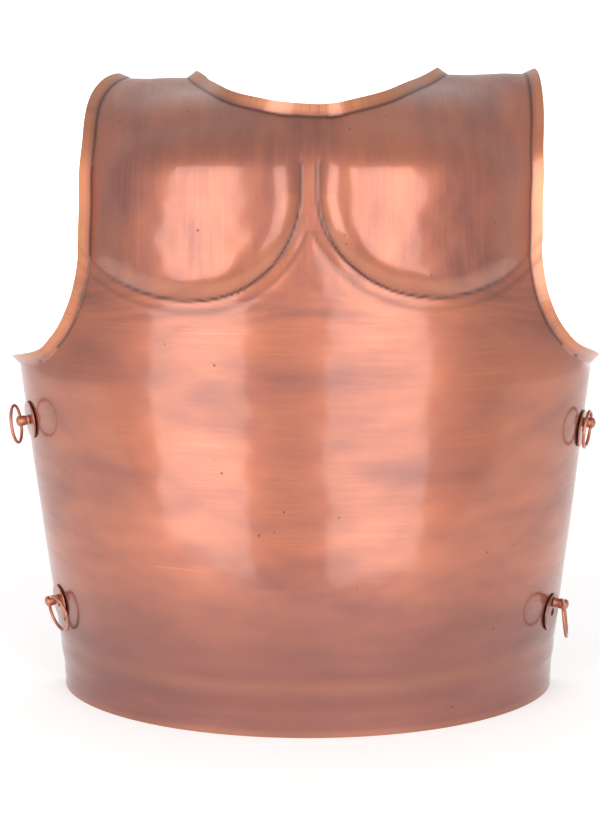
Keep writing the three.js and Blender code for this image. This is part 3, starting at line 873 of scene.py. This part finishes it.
# ---- Operators ----
class CUIRASS_OT_plate(bpy.types.Operator):
    """Hammered breastplate with pectorals and turned-out lips"""
    bl_idname = "cuirass.plate"
    bl_label = "Breastplate"

    def execute(self, context):
        settings = context.scene.cuirass_plate
        skin, outer = joined_skin(plate_patches(settings.fineness))
        count = len(skin["lip"])
        across, run = skin["point"][:, 0], skin["place"][:, 1]
        _, inside, strength = pec_fields(across, run)
        on_plate = skin["lip"] <= 0
        foot = distance_to(skin["point"], skin["point"][self.foot_rows(skin)])
        quiet = fade(foot, QUIET_EDGE) * on_plate
        wave = hammering(across, run, inside) * quiet
        shaped = skin["point"] + skin["normal"] * wave[:, None]
        lining = shaped - skin["normal"] * (settings.wall / MM)
        rim = open_edges(outer, count)
        a, b = rim.T
        sides = np.concatenate([np.stack([b, a, a + count], -1), np.stack([b, a + count, b + count], -1)])
        faces = np.concatenate([outer, outer[:, [0, 2, 1]] + count, sides])
        mesh = bpy.data.meshes.new("breastplate")
        mesh.from_pydata(to_frame(np.concatenate([shaped, lining])).tolist(), [], faces.tolist())
        marks = surface_marks(skin, inside, strength, foot)
        for name, values in marks.items():
            whole = np.concatenate([values, np.ones(count) if name == "lining" else values])
            mesh.attributes.new(name, "FLOAT", "POINT").data.foreach_set("value", whole.astype(np.float32))
        corners = np.empty(len(mesh.loops), np.int32)
        mesh.loops.foreach_get("vertex_index", corners)
        sheet = np.tile(skin["place"] * (MEAN_RADIUS * MM, MM), (2, 1))
        mesh.uv_layers.new(name="sheet").data.foreach_set("uv", sheet[corners].astype(np.float32).ravel())
        mesh.materials.append(copper("Plate copper"))
        smooth(mesh, 50)
        new_piece("fine_breastplate", mesh, "plate", ["breast_plate"])
        return {"FINISHED"}

    @staticmethod
    def foot_rows(skin):
        """Vertices on the lips' feet: those of the lips that lie on the plate's own surface."""
        turn, run = skin["place"].T
        near = np.linalg.norm(plate_point(turn, run) - skin["point"], axis=1) < 1e-3
        curves = [EdgeCurve(table) for table in (*ARM_EDGES.values(), NECK_EDGE)]
        edges = np.concatenate([plate_point(*curve.stretch(0, 1, 900).T) for curve in curves])
        return np.flatnonzero(near & (distance_to(skin["point"], edges) < 0.6))


class CUIRASS_OT_rings(bpy.types.Operator):
    """Loose strap rings in the side studs"""
    bl_idname = "cuirass.rings"
    bl_label = "Strap rings"

    def execute(self, context):
        sizes = context.scene.cuirass_fittings
        tree = ring_tree()
        values = {"Middle Radius": sizes.ring_radius / MM, "Wire Radius": sizes.ring_wire / MM,
                  "Material": copper("Ring copper")}
        for place, stud in RING_STUDS.items():
            mesh = run_tree(f"strap_ring_{place}", bpy.data.meshes.new("seed"), tree, values)
            out = Matrix.Translation((sizes.ring_radius / MM - RING_SLACK, 0, 0))
            turned = stud_hinge(stud) @ Matrix.Rotation(-radians(stud["swing"]), 4, "Y") @ out
            mesh.transform(frame_matrix(turned))
            new_piece(f"strap_ring_{place}", smooth(mesh), f"{place}_ring", [f"ring_{place}"])
        return {"FINISHED"}


class CUIRASS_OT_washers(bpy.types.Operator):
    """Round washers under the side studs"""
    bl_idname = "cuirass.washers"
    bl_label = "Washers"

    def execute(self, context):
        radius = context.scene.cuirass_fittings.washer_radius / MM
        profile = [(WASHER_HOLE, 0), (radius - WASHER_EDGE, 0), (radius, WASHER_EDGE),
                   *rounded(radius, 0.7, radius - 0.5, WASHER_THICKNESS, 4),
                   (3.3, WASHER_THICKNESS), (WASHER_HOLE, WASHER_THICKNESS - 0.3), (WASHER_HOLE, 0)]
        disc = lathe(profile, SIDES["washer"])
        shape = bmesh.new()
        shape.from_mesh(disc)
        bmesh.ops.remove_doubles(shape, verts=shape.verts, dist=1e-5)
        bmesh.ops.recalc_face_normals(shape, faces=shape.faces)
        shape.to_mesh(disc)
        shape.free()
        disc.transform(Matrix.Scale(MM, 4))
        mounts = [frame_matrix(stud_mount(stud) @ Matrix.Translation((0, -stud["hang"], GAP)))
                  for stud in RING_STUDS.values()]
        mesh = copies("washers", disc, mounts, copper("Washer copper"))
        nodes = [f"washer_{place}" for place in RING_STUDS]
        new_piece("stud_washers", smooth(mesh), "plate", nodes)
        return {"FINISHED"}


class CUIRASS_OT_posts(bpy.types.Operator):
    """Posts of the side studs, drilled for the rings"""
    bl_idname = "cuirass.posts"
    bl_label = "Stud posts"

    def execute(self, context):
        radius = context.scene.cuirass_fittings.post_radius / MM
        meshes = []
        for stud in RING_STUDS.values():
            mesh = post_mesh(stud, radius)
            mesh.transform(frame_matrix(stud_mount(stud)))
            meshes.append(mesh)
        mesh = smooth(joined("stud_posts", meshes))
        mesh.materials.append(copper("Post copper"))
        new_piece("stud_posts", mesh, "plate", [f"post_{place}" for place in RING_STUDS])
        return {"FINISHED"}


class CUIRASS_OT_shoulder_studs(bpy.types.Operator):
    """Plain studs on the rear of the shoulder tabs"""
    bl_idname = "cuirass.shoulder_studs"
    bl_label = "Shoulder studs"

    def execute(self, context):
        radius = context.scene.cuirass_fittings.stud_radius / MM
        head_bottom = HEAD_TOP - HEAD_THICKNESS
        profile = [(0, head_bottom), (3, head_bottom), (4, HEAD_TOP - HEAD_EDGE), (4, HEAD_TOP),
                   (SHANK_RADIUS, HEAD_TOP), (SHANK_RADIUS, GAP),
                   (radius - 0.2, GAP), *rounded(radius, GAP + 1.0, 0, GAP + 3, 8)]
        stud = lathe(profile, SIDES["shoulder_stud"])
        stud.transform(Matrix.Scale(MM, 4))
        mounts = [frame_matrix(plate_mount(turn_at(a, r), np.float64(r))) for a, r in SHOULDER_STUDS.values()]
        mesh = copies("shoulder studs", stud, mounts, copper("Shoulder stud copper"))
        nodes = [f"shoulder_stud_{side}" for side in SHOULDER_STUDS]
        new_piece("shoulder_studs", smooth(mesh), "plate", nodes)
        return {"FINISHED"}


def plain_material(name, shade, glow):
    material = bpy.data.materials.new(name)
    material.use_nodes = True
    shader = material.node_tree.nodes["Principled BSDF"]
    shader.inputs["Base Color"].default_value = (shade, shade, shade, 1)
    shader.inputs["Roughness"].default_value = 0.9
    shader.inputs["Emission Color"].default_value = (1, 1, 1, 1)
    shader.inputs["Emission Strength"].default_value = glow
    return material


def stage_sheet(name, corners, material):
    mesh = bpy.data.meshes.new(name)
    mesh.from_pydata(corners, [], [tuple(range(len(corners)))])
    mesh.materials.append(material)
    temporary(name, mesh)


def softbox(name, azimuth, width, distance, low, high, power):
    """An upright panel of light that faces the cuirass; azimuth is to the right of the camera's side."""
    light = bpy.data.lights.new(name, "AREA")
    light.shape = "RECTANGLE"
    light.size, light.size_y = width, high - low
    light.energy = power
    box = bpy.data.objects.new(name, light)
    turn = radians(azimuth)
    box.location = (distance * sin(turn), -distance * cos(turn), (low + high) / 2)
    box.rotation_euler = (pi / 2, 0, turn)
    bpy.context.scene.collection.objects.link(box)


class CUIRASS_OT_stage(bpy.types.Operator):
    """Pale floor and backdrop, two softboxes and the camera"""
    bl_idname = "cuirass.stage"
    bl_label = "Studio"

    def execute(self, context):
        scene = context.scene
        side, front, back, top = FLOOR["half_width"], FLOOR["front"], FLOOR["back"], BACKDROP["height"]
        pale = plain_material("Pale floor", FLOOR["shade"], FLOOR["glow"])
        foot = [(-side, back, 0), (side, back, 0)]
        stage_sheet("floor", [(-side, front, 0), (side, front, 0), *reversed(foot)], pale)
        white = plain_material("White backdrop", BACKDROP["shade"], BACKDROP["glow"])
        stage_sheet("backdrop", [*foot, (side, back, top), (-side, back, top)], white)
        for name, own in SOFTBOXES.items():
            softbox(name, **own, **SOFTBOX)
        world = bpy.data.worlds.new("Dim studio")
        world.use_nodes = True
        world.node_tree.nodes["Background"].inputs["Color"].default_value = WORLD_COLOUR
        scene.world = world
        scene.view_settings.view_transform = "Standard"
        lens = bpy.data.cameras.new("camera")
        lens.sensor_fit = "VERTICAL"
        lens.sensor_height = CAMERA["sensor_height"]
        lens.lens = CAMERA["focal_length"]
        lens.shift_x = CAMERA["shift"]
        camera = bpy.data.objects.new("camera", lens)
        camera.location = CAMERA["place"]
        camera.rotation_euler = (pi / 2 - radians(CAMERA["pitch"]), 0, 0)
        scene.collection.objects.link(camera)
        scene.camera = camera
        return {"FINISHED"}


OPERATORS = (CUIRASS_OT_plate, CUIRASS_OT_rings, CUIRASS_OT_washers, CUIRASS_OT_posts,
             CUIRASS_OT_shoulder_studs, CUIRASS_OT_stage)
SETTINGS = {"cuirass_plate": CuirassPlateSettings, "cuirass_fittings": CuirassFittingSettings,
            "cuirass_finish": CuirassFinishSettings}


class CUIRASS_PT_panel(bpy.types.Panel):
    """Buttons and settings for the cuirass"""
    bl_label = "Cuirass"
    bl_idname = "CUIRASS_PT_panel"
    bl_space_type = "VIEW_3D"
    bl_region_type = "UI"
    bl_category = "Cuirass"

    def draw(self, context):
        for operator in OPERATORS:
            self.layout.operator(operator.bl_idname)
        for name in SETTINGS:
            group = getattr(context.scene, name)
            for key in group.__annotations__:
                self.layout.prop(group, key)


def register():
    for part in (*SETTINGS.values(), *OPERATORS, CUIRASS_PT_panel):
        bpy.utils.register_class(part)
    for name, group in SETTINGS.items():
        setattr(bpy.types.Scene, name, PointerProperty(type=group))


def unregister():
    for name in SETTINGS:
        delattr(bpy.types.Scene, name)
    for part in (CUIRASS_PT_panel, *reversed(OPERATORS), *SETTINGS.values()):
        bpy.utils.unregister_class(part)


def main():
    register()
    bpy.ops.cuirass.plate()
    bpy.ops.cuirass.rings()
    bpy.ops.cuirass.washers()
    bpy.ops.cuirass.posts()
    bpy.ops.cuirass.shoulder_studs()
    bpy.ops.cuirass.stage()


if __name__ == "__main__":
    main()
